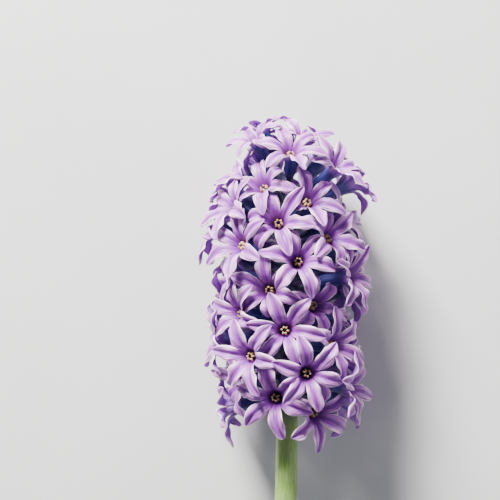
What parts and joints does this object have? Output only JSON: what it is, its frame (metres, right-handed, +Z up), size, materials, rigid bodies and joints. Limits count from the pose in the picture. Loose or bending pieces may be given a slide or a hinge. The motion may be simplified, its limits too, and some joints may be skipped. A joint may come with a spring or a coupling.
{
  "type": "hyacinth flower",
  "caption": "Cut hyacinth flower lying on its side: a dense spike of lilac, star-shaped florets with bent-back petals on a smooth green stem.",
  "frame": {"origin": "on the surface that the flower lies on, under the centre of its bounding box", "axes": "+Z up; +Y along the stem, from the cut end towards the flower's tip; +X to the right when seen from above with the tip at the top"},
  "size_m": [0.075, 0.2311, 0.0675],
  "materials": {
    "stem": "smooth, slightly waxy",
    "petal": "satin, waxy petals"
  },
  "bodies": {
    "root": {"stem": "stem", "floret_01": "petal", "floret_02": "petal", "floret_03": "petal", "floret_04": "petal", "floret_05": "petal", "floret_06": "petal", "floret_07": "petal", "floret_08": "petal", "floret_09": "petal", "floret_10": "petal", "floret_11": "petal", "floret_12": "petal", "floret_13": "petal", "floret_14": "petal", "floret_15": "petal", "floret_16": "petal", "floret_17": "petal", "floret_18": "petal", "floret_19": "petal", "floret_20": "petal", "floret_21": "petal", "floret_22": "petal", "floret_23": "petal", "floret_24": "petal", "floret_25": "petal", "floret_26": "petal", "floret_27": "petal", "floret_28": "petal", "floret_29": "petal", "floret_30": "petal", "floret_31": "petal", "floret_32": "petal", "floret_33": "petal", "floret_34": "petal", "floret_35": "petal", "floret_36": "petal", "floret_37": "petal", "floret_38": "petal", "floret_39": "petal", "floret_40": "petal", "floret_41": "petal", "floret_42": "petal", "floret_43": "petal", "floret_44": "petal", "floret_45": "petal", "floret_46": "petal", "floret_47": "petal", "floret_48": "petal", "floret_49": "petal", "floret_50": "petal", "floret_51": "petal", "floret_52": "petal", "floret_53": "petal", "floret_54": "petal", "floret_55": "petal", "floret_56": "petal", "floret_57": "petal", "floret_58": "petal"}
  },
  "joints": []
}
